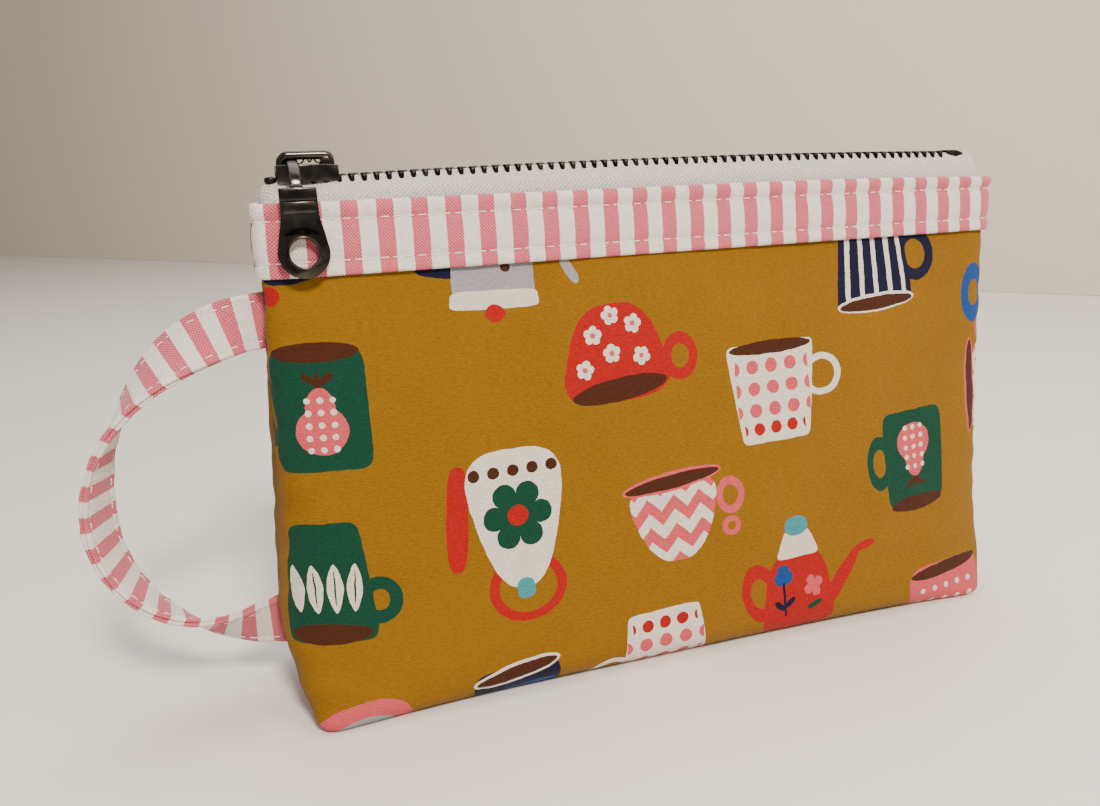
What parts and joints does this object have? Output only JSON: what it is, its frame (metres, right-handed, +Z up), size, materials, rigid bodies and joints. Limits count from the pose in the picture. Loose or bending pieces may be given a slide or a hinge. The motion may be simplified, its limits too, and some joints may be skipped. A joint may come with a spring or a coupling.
{
  "type": "zippered pouch",
  "caption": "Soft boxed pouch with a striped band, a metal zip along its top, a hanging ring pull and a side wrist strap.",
  "frame": {"origin": "centre of the flat base, on the surface that the pouch stands on", "axes": "+X along the zip from the closed slider to the bottom stop, +Y from the front to the back, +Z up"},
  "size_m": [0.2538, 0.049, 0.1363],
  "materials": {
    "printed_cotton": "plain woven cotton with a printed pattern",
    "striped_cotton": "plain woven cotton with yarn-dyed stripes",
    "fleece": "fusible fleece",
    "lining_cotton": "plain woven cotton",
    "zip_tape": "herringbone polyester tape",
    "black_metal": "black oxidised",
    "gunmetal": "gunmetal plated zinc, satin"
  },
  "bodies": {
    "pouch": {"front_panel": "printed_cotton", "back_panel": "printed_cotton", "front_band": "striped_cotton", "back_band": "striped_cotton", "front_interfacing": "fleece", "back_interfacing": "fleece", "front_lining": "lining_cotton", "back_lining": "lining_cotton", "front_zip_tape": "zip_tape", "back_zip_tape": "zip_tape", "front_zip_teeth": "black_metal", "back_zip_teeth": "black_metal", "front_top_stop": "black_metal", "back_top_stop": "black_metal", "bottom_stop": "black_metal"},
    "slider": {"slider_body": "gunmetal", "slider_crown": "gunmetal", "slider_lock_spring": "gunmetal"},
    "link": {"pull_link": "gunmetal"},
    "pull": {"pull_tab": "gunmetal"},
    "strap": {"wrist_strap": "striped_cotton"}
  },
  "joints": [
    {"name": "zip_slide", "type": "slide", "parent": "pouch", "child": "slider", "axis": [0.9998, 0, 0.02], "range_m": [0, 0.1745], "deforming": ["front_zip_teeth", "back_zip_teeth"]},
    {"name": "link_swing", "type": "hinge", "parent": "slider", "child": "link", "pos_m": [-0.09445, 0, 0.13461], "axis": [-0.9998, 0, -0.02], "range_deg": [0, 180]},
    {"name": "pull_swing", "type": "hinge", "parent": "link", "child": "pull", "pos_m": [-0.09428, -0.0081, 0.1262], "axis": [-0.9998, 0, -0.02], "range_deg": [0, 50]},
    {"name": "strap_swing", "type": "hinge", "parent": "pouch", "child": "strap", "pos_m": [-0.10732, 0, 0.0589], "axis": [0, 0, 1], "range_deg": [-45, 45]}
  ]
}
